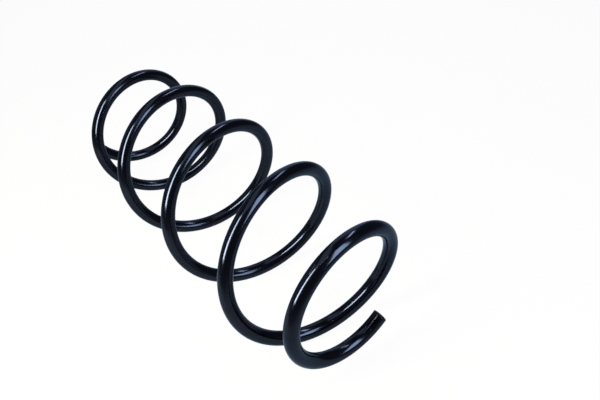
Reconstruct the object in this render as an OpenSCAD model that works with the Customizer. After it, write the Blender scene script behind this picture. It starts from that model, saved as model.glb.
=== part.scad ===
// Coil spring of a car's suspension strut, wound from one bar of round spring wire.
// It is wound about an upright axis, lower end first, and then laid on its side, where it comes
// to rest when nothing holds it. The turns are right-handed: they climb anticlockwise from above.
// Origin: on the surface that it lies on, under the middle of its bounding box.
// X runs along the spring's axis, from the upper end to the lower end, and +Z is up.

/* [Wire] */
// Diameter of the wire with its coating
wire_d = 12.5; // [10:0.25:14]
// Turns from one cut end of the wire to the other
turns = 5.27; // [4.5:0.01:7.5]
// Width of the chamfer that breaks the edge of each cut end
end_chamfer = 0.8; // [0.2:0.1:1.5]

/* [Body coils] */
// Mean diameter of the body coils, between the wire's centres
coil_d = 139; // [125:0.5:170]
// Climb of one body turn
coil_pitch = 94.1; // [75:0.1:115]

/* [Lower end] */
// Mean diameter of the lower end coil, which sits in the strut's spring pan
lower_d = 106; // [90:0.5:120]
// Climb of the lower end coil, per turn
lower_pitch = 7.9; // [6:0.1:16]
// Turns from the cut end over which the climb stays at that of the end coil
lower_flat = 0.285; // [0.1:0.005:0.4]
// Turns over which the climb then grows to that of the body
lower_rise = 0.92; // [0.7:0.01:1.1]
// Turns from the cut end over which the end coil keeps its diameter
lower_ring = 0.2; // [0.05:0.01:0.4]
// Turns over which the diameter then grows to that of the body
lower_spread = 1.06; // [0.8:0.01:1.3]

/* [Upper end] */
// Mean diameter of the upper end coil, which carries the strut mount
upper_d = 116.5; // [100:0.5:124]
// Climb at the cut end, per turn
upper_pitch = 38; // [24:0.5:56]
// Turns over which the climb falls from that of the body to that of the cut end
upper_fall = 1.4; // [0.9:0.01:1.8]
// Turns from the cut end over which the end coil keeps its diameter
upper_ring = 0.67; // [0.3:0.01:1]
// Turns over which the diameter falls from that of the body to that of the end coil
upper_spread = 0.57; // [0.4:0.01:1]

/* [At rest] */
// Angle from straight up to the lower cut end, about the axis, once the spring has rolled to rest
rest_roll = 134; // [0:1:359]

/* [Hidden] */

coating = "#12151b";
wire_r = wire_d / 2;
coil_r = coil_d / 2;

// Flat sides round the wire, and rings of them in one turn
wire_sides = 20;
rings_per_turn = 48;
// Share of a ring's step that is kept clear next to a cut end
end_clearance = 0.4;
// Short step along the wire, in turns, over which its direction is measured
tiny_turn = 0.0005;

// Goes smoothly from 0, at u = 0, to 1, at u = 1
function ease(u) = let (v = min(max(u, 0), 1)) v * v * (3 - 2 * v);
// Area under ease() from 0 to u
function eased_area(u) = let (v = min(max(u, 0), 1)) v * v * v * (1 - v / 2) + max(u - 1, 0);

// Where the upper end's climb and diameter begin to change, in turns
upper_fall_at = turns - upper_fall;
upper_spread_at = turns - upper_ring - upper_spread;

// Radius of the wire's centre line at turn t
function radius_at(t) = coil_r
    - (coil_d - lower_d) / 2 * (1 - ease((t - lower_ring) / lower_spread))
    - (coil_d - upper_d) / 2 * ease((t - upper_spread_at) / upper_spread);

// Height of the wire's centre line at turn t: the climb, added up from the lower cut end
function height_at(t) = lower_pitch * t
    + (coil_pitch - lower_pitch) * lower_rise * eased_area((t - lower_flat) / lower_rise)
    - (coil_pitch - upper_pitch) * upper_fall * eased_area((t - upper_fall_at) / upper_fall);

free_length = height_at(turns) + wire_d;

function outwards(t) = [cos(360 * t), sin(360 * t), 0];
function centre_line(t) = radius_at(t) * outwards(t) + [0, 0, height_at(t)];
function unit(v) = v / norm(v);
function heading(t) = unit(centre_line(t + tiny_turn) - centre_line(t - tiny_turn));

// Ring of points round the wire at turn t, square to the wire, starting on the coil's outside
function ring(t, r) =
    let (along = heading(t), up = unit(cross(outwards(t), along)), out = cross(along, up))
    [for (i = [0 : wire_sides - 1])
        let (a = 360 * i / wire_sides) centre_line(t) + r * (cos(a) * out - sin(a) * up)];

// Turns at which a ring stands: on both sides of the chamfer at each cut end, and half a step off
// straight down, so that under every coil one flat length of wire lies on the surface
ring_step = 1 / rings_per_turn;
lower_cut_at = rest_roll / 360;
upper_cut_at = lower_cut_at + turns;
first_step = ceil(lower_cut_at / ring_step - 0.5 + end_clearance);
last_step = floor(upper_cut_at / ring_step - 0.5 - end_clearance);
body_stations = [
    for (i = [first_step : last_step]) [(i + 0.5) * ring_step - lower_cut_at, wire_r]
];
lower_stations = [
    [0, wire_r - end_chamfer],
    [end_chamfer / (PI * lower_d), wire_r]
];
upper_stations = [
    [turns - end_chamfer / (PI * upper_d), wire_r],
    [turns, wire_r - end_chamfer]
];
stations = concat(lower_stations, body_stations, upper_stations);

// Height of the spring's axis over the surface, with the body coils down on their flat lengths
axis_height = (coil_r + wire_r) * cos(180 / rings_per_turn);

// Closed tube through all the rings, with a flat face at each cut end
module wire() {
    count = len(stations);
    points = [for (s = stations) each ring(s[0], s[1])];
    sides = [
        for (k = [0 : count - 2], i = [0 : wire_sides - 1])
            let (
                j = (i + 1) % wire_sides,
                a = k * wire_sides + i,
                b = k * wire_sides + j,
                c = b + wire_sides,
                d = a + wire_sides
            )
            each [[a, b, c], [a, c, d]]
    ];
    lower_face = [for (i = [wire_sides - 1 : -1 : 0]) i];
    upper_face = [for (i = [0 : wire_sides - 1]) (count - 1) * wire_sides + i];
    polyhedron(points, concat([lower_face], sides, [upper_face]), convexity = 12);
}

// Turns the upright spring so that its axis runs along X and it lies on its coils' undersides
module laid_on_its_side() {
    translate([free_length / 2, 0, axis_height])
        rotate([0, -90, 0])
            rotate([0, 0, rest_roll])
                translate([0, 0, wire_r])
                    children();
}

module coil_spring() {
    color(coating)
        laid_on_its_side()
            wire();
}

coil_spring();
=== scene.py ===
"""Looks of a suspension strut's coil spring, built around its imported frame, in metres.

The spring is one bar of round wire with a glossy blue-black coat. It lies on its side on a white
floor, and softboxes round it draw the long streaks in its coat.
"""

import math

import bpy
from mathutils import Matrix, Vector


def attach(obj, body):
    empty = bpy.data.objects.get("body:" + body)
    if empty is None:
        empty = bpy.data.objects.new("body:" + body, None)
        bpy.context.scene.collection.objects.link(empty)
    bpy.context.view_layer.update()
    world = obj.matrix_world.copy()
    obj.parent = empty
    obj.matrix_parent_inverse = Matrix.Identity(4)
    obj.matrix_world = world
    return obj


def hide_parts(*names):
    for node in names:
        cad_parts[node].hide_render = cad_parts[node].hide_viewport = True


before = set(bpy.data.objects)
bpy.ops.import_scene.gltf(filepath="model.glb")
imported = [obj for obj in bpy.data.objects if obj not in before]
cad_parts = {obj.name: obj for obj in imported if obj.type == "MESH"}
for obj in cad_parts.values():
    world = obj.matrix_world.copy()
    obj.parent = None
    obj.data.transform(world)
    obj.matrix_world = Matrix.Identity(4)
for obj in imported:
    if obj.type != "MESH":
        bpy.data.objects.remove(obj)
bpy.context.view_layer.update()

# Wire
WIRE_R = 0.00625
TURNS = 5.27
END_CHAMFER = 0.0008

# Body coils
COIL_R = 0.0695
COIL_PITCH = 0.0941

# Lower end
LOWER_R = 0.053
LOWER_PITCH = 0.0079
LOWER_FLAT = 0.285
LOWER_RISE = 0.92
LOWER_RING = 0.2
LOWER_SPREAD = 1.06

# Upper end
UPPER_R = 0.05825
UPPER_PITCH = 0.038
UPPER_FALL = 1.4
UPPER_RING = 0.67
UPPER_SPREAD = 0.57

# Angle from straight up to the lower cut end, about the axis, as the spring lies
REST_ROLL = math.radians(134)

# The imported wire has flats, and 48 of them make a turn
PACKED_RINGS_PER_TURN = 48
AXIS_HEIGHT = (COIL_R + WIRE_R) * math.cos(math.pi / PACKED_RINGS_PER_TURN)

# The lower cut as the photograph shows it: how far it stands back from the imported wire's end, the
# width of its rounded edge, and its lean, in metres along the wire per metre outwards and sideways
LOWER_CUT_BACK = 0.0005
LOWER_CUT_EDGE = 0.0003
LOWER_CUT_LEAN = (0.029, -0.050)
UPPER_CUT_LEAN = (0.0, 0.0)

# Fineness of the smooth wire
WIRE_SIDES = 40
RINGS_PER_TURN = 220
CHAMFER_STEPS = 4
CUT_RINGS = 3
TINY_TURN = 0.0005

# The first full ring of the wire that stands clear of the leaning lower cut
FIRST_FULL_RING = 2

# Attribute that holds where each point would be on the straight bar before it was wound
BAR_PLACE = "place_on_straight_bar"

# Place of the cut faces' material in the mesh, after the coat
CUT_MATERIAL_INDEX = 1

# Hairlines and specks in the coat, as the photograph shows them: each from one place to another,
# given as metres along the wire and degrees round it (0 is outwards), then its half width
HAIRLINES = [
    ((0.0040, 193), (0.0120, 192), 0.00016),
    ((0.0120, 192), (0.0215, 198), 0.00020),
    ((0.0150, 177), (0.0250, 174), 0.00018),
    ((0.1783, -3), (0.1810, 1), 0.00020),
    ((0.1815, 2), (0.1855, 8), 0.00016),
    ((0.1870, -21), (0.1945, -27), 0.00016),
]
SPECKS = [
    ((0.0018, 195), (0.0034, 187), 0.00045),
    ((0.0150, 219), (0.0156, 219), 0.00030),
    ((0.3745, 183), (0.3755, 183), 0.00025),
    ((0.4004, 215), (0.4008, 215), 0.00035),
    ((0.0990, 255), (0.0994, 255), 0.00030),
    ((0.8138, 243), (0.8142, 243), 0.00030),
]

# Share of a scratch's half width at which it begins to fade, and at which it is gone
SCRATCH_FADE = (0.5, 1.5)

# Strip of painted shade at the lower cut end: the coat is darkened there, where the near coil shades
# it from the key lamp. Its length and the length over which the full colour comes back, then the
# middle of the strip, its half width and its fade, in degrees round the wire
PAINTED_SHADE_LENGTH = 0.011
PAINTED_SHADE_FADE = 0.012
PAINTED_SHADE_ANGLE = 192
PAINTED_SHADE_SPREAD = 14
PAINTED_SHADE_SPREAD_FADE = 16

# Colours of the coat: the two that it wavers between, that of the strip of painted shade at the
# lower cut end, that of the wear, and the tint of what it mirrors near its outline
COAT_COLOURS = ((0.0260, 0.0320, 0.0535, 1), (0.0290, 0.0350, 0.0585, 1))
# Painted shade: colour of the darkened strip at the lower cut end
PAINTED_SHADE_COLOUR = (0.0070, 0.0085, 0.0135, 1)
WEAR_COLOUR = (0.064, 0.067, 0.082, 1)
COAT_EDGE_TINT = (0.66, 0.78, 1.0, 1)

# Roughness of the coat, from its smoothest to its roughest, and what the wear adds
COAT_ROUGHNESS = (0.14, 0.16)
WEAR_ROUGHNESS = 0.6

# Noises in the coat: features per metre, then the ends of the noise's range that is used
COLOUR_NOISE = (70, 0.35, 0.65)
ROUGHNESS_NOISE = (90, 0.35, 0.65)
WEAR_NOISE = (900, 0.35, 0.55)
GROUP_NOISE = (22, 0.55, 0.68)

# What is left of a hairline where it is weakest
WEAR_LEAST = 0.6

# Faint handling marks: features per metre along and across the wire, the ends of the noise's range
# that is used, and how strong the marks get
MARK_STRETCH = (45, 2600, 2600)
MARK_RANGE = (0.66, 0.74)
MARK_STRENGTH = 0.25

# Orange peel of the coat: distance between its waves, and their depth
PEEL_SIZE = 0.0022
PEEL_DEPTH = 0.000005

# Cut faces: their two colours, roughness, dim gloss, and the depth of their grain
CUT_COLOURS = ((0.0036, 0.0052, 0.0100, 1), (0.0085, 0.0110, 0.0190, 1))
CUT_ROUGHNESS = (0.55, 0.8)
CUT_GLOSS = 0.03
GRAIN_DEPTH = 0.0002

# Noises in the cut faces: features per metre, then the ends of the noise's range that is used
PATCH_NOISE = (260, 0.4, 0.6)
GRAIN_NOISE = (900, 0.3, 0.7)

# The floor: half its width, its paint, the share of plain white that the camera sees, and that of
# the dimmer white that the coat mirrors
FLOOR_HALF = 6.0
FLOOR_PAINT = (0.9, 0.9, 0.9, 1)
FLOOR_ROUGHNESS = 0.9
SEEN_SHARE = 0.95
MIRRORED_SHARE = 0.6
MIRRORED_STRENGTH = 0.145

# Light of the room all round
WORLD_STRENGTH = 0.1

# Lamps: name, centre, tilt about X and then turn about Z from facing straight down in degrees,
# width, height, radiance and colour
LAMPS = [
    ("key_softbox", (0.122, -0.390, 0.411), 93, 26, 0.142, 0.545, 13.5, (1, 1, 0.75)),
    ("key_tube", (0.118, -0.381, 0.411), 93, 26, 0.050, 0.525, 26.7, (1, 1, 0.75)),
    ("side_softbox", (0.553, 0.140, 0.437), 94, 90, 0.186, 0.54, 7.7, (0.87, 1, 0.95)),
    ("rear_softbox", (0.042, 0.586, 0.995), -6, 148, 0.53, 0.10, 12.8, (1, 1, 1)),
    ("rear_card", (-0.770, 0.553, 0.490), 66, -129, 0.9, 1.25, 0.55, (1, 1, 1)),
    ("left_card", (-0.62, -0.46, 0.36), 70, -53, 0.7, 0.6, 0.25, (0.75, 0.88, 1)),
    ("top_strip", (-0.136, -0.067, 0.519), 16, 78, 0.18, 0.81, 0.60, (1, 1, 1)),
]

# Camera: where it looks, and from where
CAMERA_AIM = Vector((0.00799, 0.09727, 0.07559))
CAMERA_AZIMUTH = math.radians(51.234)
CAMERA_ELEVATION = math.radians(32.526)
CAMERA_DISTANCE = 0.59736
CAMERA_ROLL = math.radians(0.933)
SENSOR_WIDTH = 36.0
FOCAL_LENGTH = 33.12
SHIFT_X = 0.0044
SHIFT_Y = -0.0698

# Places of the colour sockets in Blender's Mix node, whose names repeat
MIX_FIRST = 6
MIX_SECOND = 7
MIX_RESULT = 2


def ease(u):
    """Goes smoothly from 0, at u = 0, to 1, at u = 1."""
    v = min(max(u, 0.0), 1.0)
    return v * v * (3 - 2 * v)


def eased_area(u):
    """Area under ease() from 0 to u."""
    v = min(max(u, 0.0), 1.0)
    return v * v * v * (1 - v / 2) + max(u - 1, 0.0)


def radius_at(t):
    """Radius of the wire's centre line at turn t, from the lower cut end."""
    lower = 1 - ease((t - LOWER_RING) / LOWER_SPREAD)
    upper = ease((t - TURNS + UPPER_RING + UPPER_SPREAD) / UPPER_SPREAD)
    return COIL_R - (COIL_R - LOWER_R) * lower - (COIL_R - UPPER_R) * upper


def height_at(t):
    """Height of the wire's centre line at turn t, along the axis, from the lower cut end."""
    rise = LOWER_RISE * eased_area((t - LOWER_FLAT) / LOWER_RISE)
    fall = UPPER_FALL * eased_area((t - TURNS + UPPER_FALL) / UPPER_FALL)
    return LOWER_PITCH * t + (COIL_PITCH - LOWER_PITCH) * rise - (COIL_PITCH - UPPER_PITCH) * fall


FREE_LENGTH = height_at(TURNS) + 2 * WIRE_R


def centre_line(t):
    """Point of the wire's centre line at turn t, with the spring on its side, as in the frame."""
    angle = 2 * math.pi * t + REST_ROLL
    r = radius_at(t)
    along = FREE_LENGTH / 2 - height_at(t) - WIRE_R
    return Vector((along, r * math.sin(angle), r * math.cos(angle) + AXIS_HEIGHT))


def section_axes(t):
    """Heading of the wire at turn t, and the two directions square to it: outwards and sideways."""
    heading = (centre_line(t + TINY_TURN) - centre_line(t - TINY_TURN)).normalized()
    angle = 2 * math.pi * t + REST_ROLL
    outwards = Vector((0, math.sin(angle), math.cos(angle)))
    sideways = outwards.cross(heading).normalized()
    return heading, heading.cross(sideways), sideways


def ring(t, r, ahead=0.0, lean=(0.0, 0.0)):
    """Ring round the wire at turn t, moved ahead along the heading and leaning outwards and sideways.

    Gives each point, its distance ahead of turn t, and its place across the wire.
    """
    heading, out, side = section_axes(t)
    centre = centre_line(t)
    places = []
    for i in range(WIRE_SIDES):
        a = 2 * math.pi * i / WIRE_SIDES
        u = r * math.cos(a)
        v = r * math.sin(a)
        w = ahead + u * lean[0] + v * lean[1]
        places.append((centre + u * out + v * side + w * heading, w, u, v))
    return places


def cut_rings(t, inwards, edge, lean):
    """Rings of a cut face from its middle out, and then of its rounded edge."""
    radii = [(WIRE_R - edge) * (i + 1) / (CUT_RINGS + 1) for i in range(CUT_RINGS)]
    rings = [(t, ring(t, r, 0.0, lean)) for r in radii]
    for i in range(CHAMFER_STEPS + 1):
        a = math.pi / 2 * i / CHAMFER_STEPS
        r = WIRE_R - edge * (1 - math.sin(a))
        rings.append((t, ring(t, r, inwards * edge * (1 - math.cos(a)), lean)))
    return rings


def wire_rings():
    """All the rings of the wire with their turns, from one cut face's middle to the other's."""
    lower_cut_at = LOWER_CUT_BACK / (2 * math.pi * LOWER_R)
    lower = cut_rings(lower_cut_at, 1, LOWER_CUT_EDGE, LOWER_CUT_LEAN)
    upper = cut_rings(TURNS, -1, END_CHAMFER, UPPER_CUT_LEAN)
    count = round(TURNS * RINGS_PER_TURN)
    turns = [TURNS * i / count for i in range(FIRST_FULL_RING, count)]
    return lower + [(t, ring(t, WIRE_R)) for t in turns] + upper[::-1]


def straight_bar(rings):
    """Where each point of the rings would be if the wire were straight, along X."""
    coordinates = []
    along = 0.0
    last = centre_line(0)
    for t, places in rings:
        centre = centre_line(t)
        along += (centre - last).length
        last = centre
        for _, w, u, v in places:
            coordinates += [along + w, u, v]
    return coordinates


def add_object(name, data):
    """New object in the scene that shows the data."""
    new = bpy.data.objects.new(name, data)
    bpy.context.scene.collection.objects.link(new)
    return new


def make_wire():
    """The whole spring as one closed smooth tube, with the cut faces in their own material."""
    rings = wire_rings()
    points = [place[0] for _, places in rings for place in places]
    faces = []
    for k in range(len(rings) - 1):
        a = k * WIRE_SIDES
        b = a + WIRE_SIDES
        for i in range(WIRE_SIDES):
            j = (i + 1) % WIRE_SIDES
            faces.append((a + i, b + i, b + j, a + j))
    last = (len(rings) - 1) * WIRE_SIDES
    faces.append(tuple(range(WIRE_SIDES)))
    faces.append(tuple(last + i for i in reversed(range(WIRE_SIDES))))
    mesh = bpy.data.meshes.new("coil_spring_coated")
    mesh.from_pydata(points, [], faces)
    mesh.shade_smooth()
    attribute = mesh.attributes.new(BAR_PLACE, "FLOAT_VECTOR", "POINT")
    attribute.data.foreach_set("vector", straight_bar(rings))
    mesh.materials.append(coat_material())
    mesh.materials.append(cut_material())
    cut_bands = list(range(CUT_RINGS)) + list(range(len(rings) - 1 - CUT_RINGS, len(rings) - 1))
    cut_faces = [k * WIRE_SIDES + i for k in cut_bands for i in range(WIRE_SIDES)]
    for i in cut_faces + [len(faces) - 2, len(faces) - 1]:
        mesh.polygons[i].material_index = CUT_MATERIAL_INDEX
    return add_object("coil_spring_coated", mesh)


def feed(tree, socket, value):
    """Sets a socket to a value, or links another socket to it."""
    if isinstance(value, bpy.types.NodeSocket):
        tree.links.new(value, socket)
    else:
        socket.default_value = value


def math_node(tree, operation, a, b):
    """Result of a Math node of two values, each a number or a socket."""
    node = tree.nodes.new("ShaderNodeMath")
    node.operation = operation
    for socket, value in zip(node.inputs, (a, b)):
        feed(tree, socket, value)
    return node.outputs["Value"]


def vector_node(tree, operation, output, a, b):
    """One output of a Vector Math node of two values, each a vector or a socket."""
    node = tree.nodes.new("ShaderNodeVectorMath")
    node.operation = operation
    for socket, value in zip(node.inputs, (a, b)):
        feed(tree, socket, value)
    return node.outputs[output]


def map_range(tree, value, low, high, to_low, to_high):
    """Value mapped from one range to another, and held at its ends."""
    node = tree.nodes.new("ShaderNodeMapRange")
    node.inputs["From Min"].default_value = low
    node.inputs["From Max"].default_value = high
    node.inputs["To Min"].default_value = to_low
    node.inputs["To Max"].default_value = to_high
    tree.links.new(value, node.inputs["Value"])
    return node.outputs["Result"]


def noise(tree, place, scale, stretch=(1, 1, 1), detail=2.0):
    """Noise of about one feature per 1/scale metres, stretched along the axes."""
    mapping = tree.nodes.new("ShaderNodeMapping")
    mapping.inputs["Scale"].default_value = stretch
    tree.links.new(place, mapping.inputs["Vector"])
    node = tree.nodes.new("ShaderNodeTexNoise")
    node.inputs["Scale"].default_value = scale
    node.inputs["Detail"].default_value = detail
    tree.links.new(mapping.outputs["Vector"], node.inputs["Vector"])
    return node.outputs["Fac"]


def uneven(tree, place, kind, to_low, to_high):
    """Noise of one kind (features per metre, ends of its range), mapped to a range of values."""
    scale, low, high = kind
    return map_range(tree, noise(tree, place, scale), low, high, to_low, to_high)


def mix_colour(tree, share, a, b):
    """Colour that goes from a to b with share; each is a colour or a socket."""
    node = tree.nodes.new("ShaderNodeMix")
    node.data_type = "RGBA"
    tree.links.new(share, node.inputs["Factor"])
    feed(tree, node.inputs[MIX_FIRST], a)
    feed(tree, node.inputs[MIX_SECOND], b)
    return node.outputs[MIX_RESULT]


def strongest(tree, values):
    """The largest of the values."""
    result = values[0]
    for value in values[1:]:
        result = math_node(tree, "MAXIMUM", result, value)
    return result


def bar_point(along, degrees):
    """Point on the straight bar's surface, by distance along it and angle round it."""
    a = math.radians(degrees)
    return Vector((along, WIRE_R * math.cos(a), WIRE_R * math.sin(a)))


def scratch(tree, place, start, end, half_width):
    """1 along a scratch from start to end on the straight bar, and 0 beside it."""
    first = bar_point(*start)
    run = bar_point(*end) - first
    from_first = vector_node(tree, "SUBTRACT", "Vector", place, first)
    along = vector_node(tree, "DOT_PRODUCT", "Value", from_first, run / run.length_squared)
    nearest = tree.nodes.new("ShaderNodeVectorMath")
    nearest.operation = "SCALE"
    nearest.inputs["Vector"].default_value = run
    tree.links.new(map_range(tree, along, 0, 1, 0, 1), nearest.inputs["Scale"])
    away = vector_node(tree, "DISTANCE", "Value", from_first, nearest.outputs["Vector"])
    fades_at, gone_at = (share * half_width for share in SCRATCH_FADE)
    return map_range(tree, away, fades_at, gone_at, 1, 0)


def painted_shade_strip(tree, place):
    """1 in the strip of painted shade at the lower cut end, and 0 away from it."""
    split = tree.nodes.new("ShaderNodeSeparateXYZ")
    tree.links.new(place, split.inputs["Vector"])
    near_end = map_range(tree, split.outputs["X"], PAINTED_SHADE_LENGTH, PAINTED_SHADE_LENGTH + PAINTED_SHADE_FADE, 1, 0)
    middle = bar_point(0, PAINTED_SHADE_ANGLE) / WIRE_R ** 2
    towards = vector_node(tree, "DOT_PRODUCT", "Value", place, middle)
    edge = math.cos(math.radians(PAINTED_SHADE_SPREAD + PAINTED_SHADE_SPREAD_FADE))
    full = math.cos(math.radians(PAINTED_SHADE_SPREAD))
    return math_node(tree, "MULTIPLY", near_end, map_range(tree, towards, edge, full, 0, 1))


def new_material(name):
    """New material; gives it, its node tree and its shader."""
    material = bpy.data.materials.new(name)
    material.use_nodes = True
    tree = material.node_tree
    return material, tree, tree.nodes["Principled BSDF"]


def bar_place(tree):
    """Where each point of the surface is on the straight bar."""
    node = tree.nodes.new("ShaderNodeAttribute")
    node.attribute_name = BAR_PLACE
    return node.outputs["Vector"]


def add_bump(tree, shader, height, depth):
    """Gives the shader's surface a bump of this depth."""
    bump = tree.nodes.new("ShaderNodeBump")
    bump.inputs["Strength"].default_value = 1
    bump.inputs["Distance"].default_value = depth
    tree.links.new(height, bump.inputs["Height"])
    tree.links.new(bump.outputs["Normal"], shader.inputs["Normal"])


def coat_material():
    """Glossy blue-black coat with fine hairlines and specks, with painted shade near the lower cut
    end.
    """
    material, tree, shader = new_material("coat")
    place = bar_place(tree)

    # Hairlines and specks that the photograph shows, broken up along their length
    wear = strongest(tree, [scratch(tree, place, *one) for one in HAIRLINES + SPECKS])
    wear = math_node(tree, "MULTIPLY", wear, uneven(tree, place, WEAR_NOISE, WEAR_LEAST, 1))

    # Faint handling marks all over: thin lines along the wire, in loose groups
    lines = map_range(tree, noise(tree, place, 1, MARK_STRETCH, 1.0), *MARK_RANGE, 0, 1)
    groups = uneven(tree, place, GROUP_NOISE, 0, MARK_STRENGTH)
    wear = strongest(tree, [wear, math_node(tree, "MULTIPLY", lines, groups)])

    # Colour: slightly uneven, darkened by painted shade at the lower cut end, and pale in the wear
    colour = mix_colour(tree, uneven(tree, place, COLOUR_NOISE, 0, 1), *COAT_COLOURS)
    # Painted shade: the coat's colour, and so its reflection, is darkened at the lower cut end, where
    # the near coil shades it from the key lamp
    colour = mix_colour(tree, painted_shade_strip(tree, place), colour, PAINTED_SHADE_COLOUR)
    colour = mix_colour(tree, wear, colour, WEAR_COLOUR)
    tree.links.new(colour, shader.inputs["Base Color"])

    # Roughness: slightly uneven, and much higher in the wear
    smooth = uneven(tree, place, ROUGHNESS_NOISE, *COAT_ROUGHNESS)
    worn = map_range(tree, wear, 0, 1, 0, WEAR_ROUGHNESS)
    tree.links.new(math_node(tree, "ADD", smooth, worn), shader.inputs["Roughness"])

    # Orange peel of the sprayed coat
    add_bump(tree, shader, noise(tree, place, 1 / PEEL_SIZE, detail=1.0), PEEL_DEPTH)

    shader.inputs["Metallic"].default_value = 1
    shader.inputs["Specular Tint"].default_value = COAT_EDGE_TINT
    return material


def cut_material():
    """Matt black coat over the grainy sheared face at each cut end."""
    material, tree, shader = new_material("cut_face")
    place = bar_place(tree)
    colour = mix_colour(tree, uneven(tree, place, PATCH_NOISE, 0, 1), *CUT_COLOURS)
    tree.links.new(colour, shader.inputs["Base Color"])
    scale, low, high = GRAIN_NOISE
    grain = noise(tree, place, scale, detail=4.0)
    tree.links.new(map_range(tree, grain, low, high, *CUT_ROUGHNESS), shader.inputs["Roughness"])
    add_bump(tree, shader, grain, GRAIN_DEPTH)
    shader.inputs["Specular IOR Level"].default_value = CUT_GLOSS
    return material


def floor_material():
    """Pale floor that the camera sees as white, with a soft shadow left on it."""
    material, tree, paint = new_material("floor")
    paint.inputs["Base Color"].default_value = FLOOR_PAINT
    paint.inputs["Roughness"].default_value = FLOOR_ROUGHNESS
    path = tree.nodes.new("ShaderNodeLightPath")
    seen = path.outputs["Is Camera Ray"]
    mirrored = math_node(
        tree, "ADD", path.outputs["Is Glossy Ray"], path.outputs["Is Transmission Ray"]
    )
    seen_share = math_node(tree, "MULTIPLY", seen, SEEN_SHARE)
    mirrored_share = math_node(tree, "MULTIPLY", mirrored, MIRRORED_SHARE)
    share = math_node(tree, "ADD", seen_share, mirrored_share)
    glow = tree.nodes.new("ShaderNodeEmission")
    tree.links.new(map_range(tree, seen, 0, 1, MIRRORED_STRENGTH, 1), glow.inputs["Strength"])
    mix = tree.nodes.new("ShaderNodeMixShader")
    for socket, value in zip(mix.inputs, (share, paint.outputs["BSDF"], glow.outputs["Emission"])):
        tree.links.new(value, socket)
    tree.links.new(mix.outputs["Shader"], tree.nodes["Material Output"].inputs["Surface"])
    return material


def make_floor():
    """Wide floor, just under the smooth wire."""
    mesh = bpy.data.meshes.new("floor")
    z = AXIS_HEIGHT - COIL_R - WIRE_R
    signs = [(-1, -1), (1, -1), (1, 1), (-1, 1)]
    corners = [(x * FLOOR_HALF, y * FLOOR_HALF, z) for x, y in signs]
    mesh.from_pydata(corners, [], [(0, 1, 2, 3)])
    mesh.materials.append(floor_material())
    floor = add_object("floor", mesh)


def add_softbox(name, centre, tilt, turn, width, height, radiance, colour):
    """Rectangular lamp, tilted about X and then turned about Z from facing straight down."""
    data = bpy.data.lights.new(name, "AREA")
    data.shape = "RECTANGLE"
    data.size = width
    data.size_y = height
    data.energy = radiance * math.pi * width * height
    data.color = colour
    lamp = add_object(name, data)
    lamp.location = centre
    lamp.rotation_euler = (math.radians(tilt), 0, math.radians(turn))
    lamp.visible_camera = False


def make_world():
    """Dim white room, which the camera sees as white beyond the floor."""
    world = bpy.data.worlds.new("studio")
    bpy.context.scene.world = world
    world.use_nodes = True
    tree = world.node_tree
    background = tree.nodes["Background"]
    background.inputs["Color"].default_value = (1, 1, 1, 1)
    path = tree.nodes.new("ShaderNodeLightPath")
    strength = map_range(tree, path.outputs["Is Camera Ray"], 0, 1, WORLD_STRENGTH, 1)
    tree.links.new(strength, background.inputs["Strength"])


def make_camera():
    """Camera at the photograph's place."""
    data = bpy.data.cameras.new("camera")
    data.sensor_width = SENSOR_WIDTH
    data.lens = FOCAL_LENGTH
    data.shift_x = SHIFT_X
    data.shift_y = SHIFT_Y
    camera = add_object("camera", data)
    flat = math.cos(CAMERA_ELEVATION)
    back = Vector((
        math.sin(CAMERA_AZIMUTH) * flat,
        -math.cos(CAMERA_AZIMUTH) * flat,
        math.sin(CAMERA_ELEVATION),
    ))
    turn = back.to_track_quat("Z", "Y").to_matrix().to_4x4()
    place = Matrix.Translation(CAMERA_AIM + CAMERA_DISTANCE * back)
    camera.matrix_world = place @ turn @ Matrix.Rotation(CAMERA_ROLL, 4, "Z")
    bpy.context.scene.camera = camera


make_camera()
spring = make_wire()
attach(spring, "root")
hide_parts("coil_spring")
make_floor()
for lamp in LAMPS:
    add_softbox(*lamp)
make_world()

bpy.context.scene.view_settings.view_transform = "Standard"
